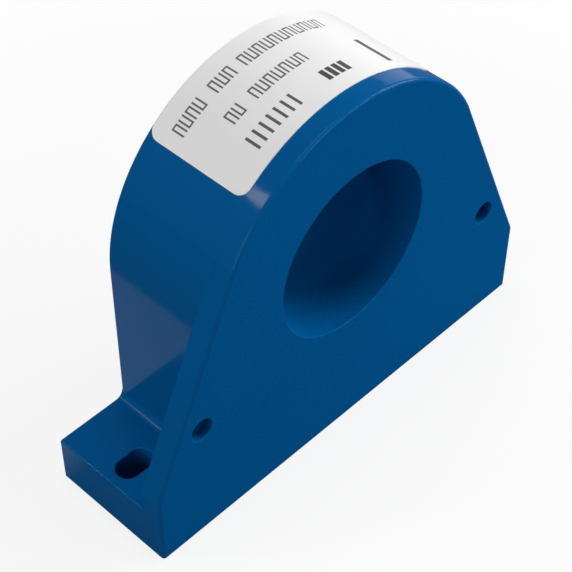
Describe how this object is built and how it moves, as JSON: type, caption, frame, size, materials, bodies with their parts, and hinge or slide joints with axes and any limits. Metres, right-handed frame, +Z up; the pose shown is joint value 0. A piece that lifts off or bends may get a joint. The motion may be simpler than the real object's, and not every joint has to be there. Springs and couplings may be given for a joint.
{
  "type": "hall effect current sensor",
  "caption": "Ring-type Hall effect current sensor: round-topped moulded housing with a large conductor aperture, a sloped front mounting plate, slotted feet and a rear pin header.",
  "frame": {"origin": "midway between the two base slots, on the mounting plane under the feet", "axes": "+X along the base, +Y through the aperture from the front face to the back, +Z up from the mounting plane"},
  "size_m": [0.086, 0.0318, 0.0686],
  "materials": {
    "housing_plastic": "moulded, lightly polished",
    "label_film": "satin film",
    "core_steel": "wound strip",
    "foam": "cut foam",
    "ivory_plastic": "moulded",
    "board_laminate": "solder mask",
    "chip_epoxy": "moulded",
    "tinned_metal": "tin plated",
    "screw_steel": "zinc plated",
    "tantalum_case": "moulded",
    "chip_ceramic": "fired"
  },
  "bodies": {
    "root": {"housing": "housing_plastic", "back_cover": "housing_plastic", "type_label": "label_film", "magnetic_core": "core_steel", "core_cushion": "foam", "hall_holder": "ivory_plastic", "hall_cell": "chip_epoxy", "hall_leads": "tinned_metal", "circuit_board": "board_laminate", "board_screws": "screw_steel", "bridge_amplifier": "chip_epoxy", "output_amplifier": "chip_epoxy", "amplifier_leads": "tinned_metal", "supply_regulators": "chip_epoxy", "regulator_leads": "tinned_metal", "tantalum_capacitors": "tantalum_case", "protection_diodes": "chip_epoxy", "chip_resistors": "chip_epoxy", "chip_capacitors": "chip_ceramic", "connector_header": "ivory_plastic", "connector_pins": "tinned_metal"}
  },
  "joints": []
}
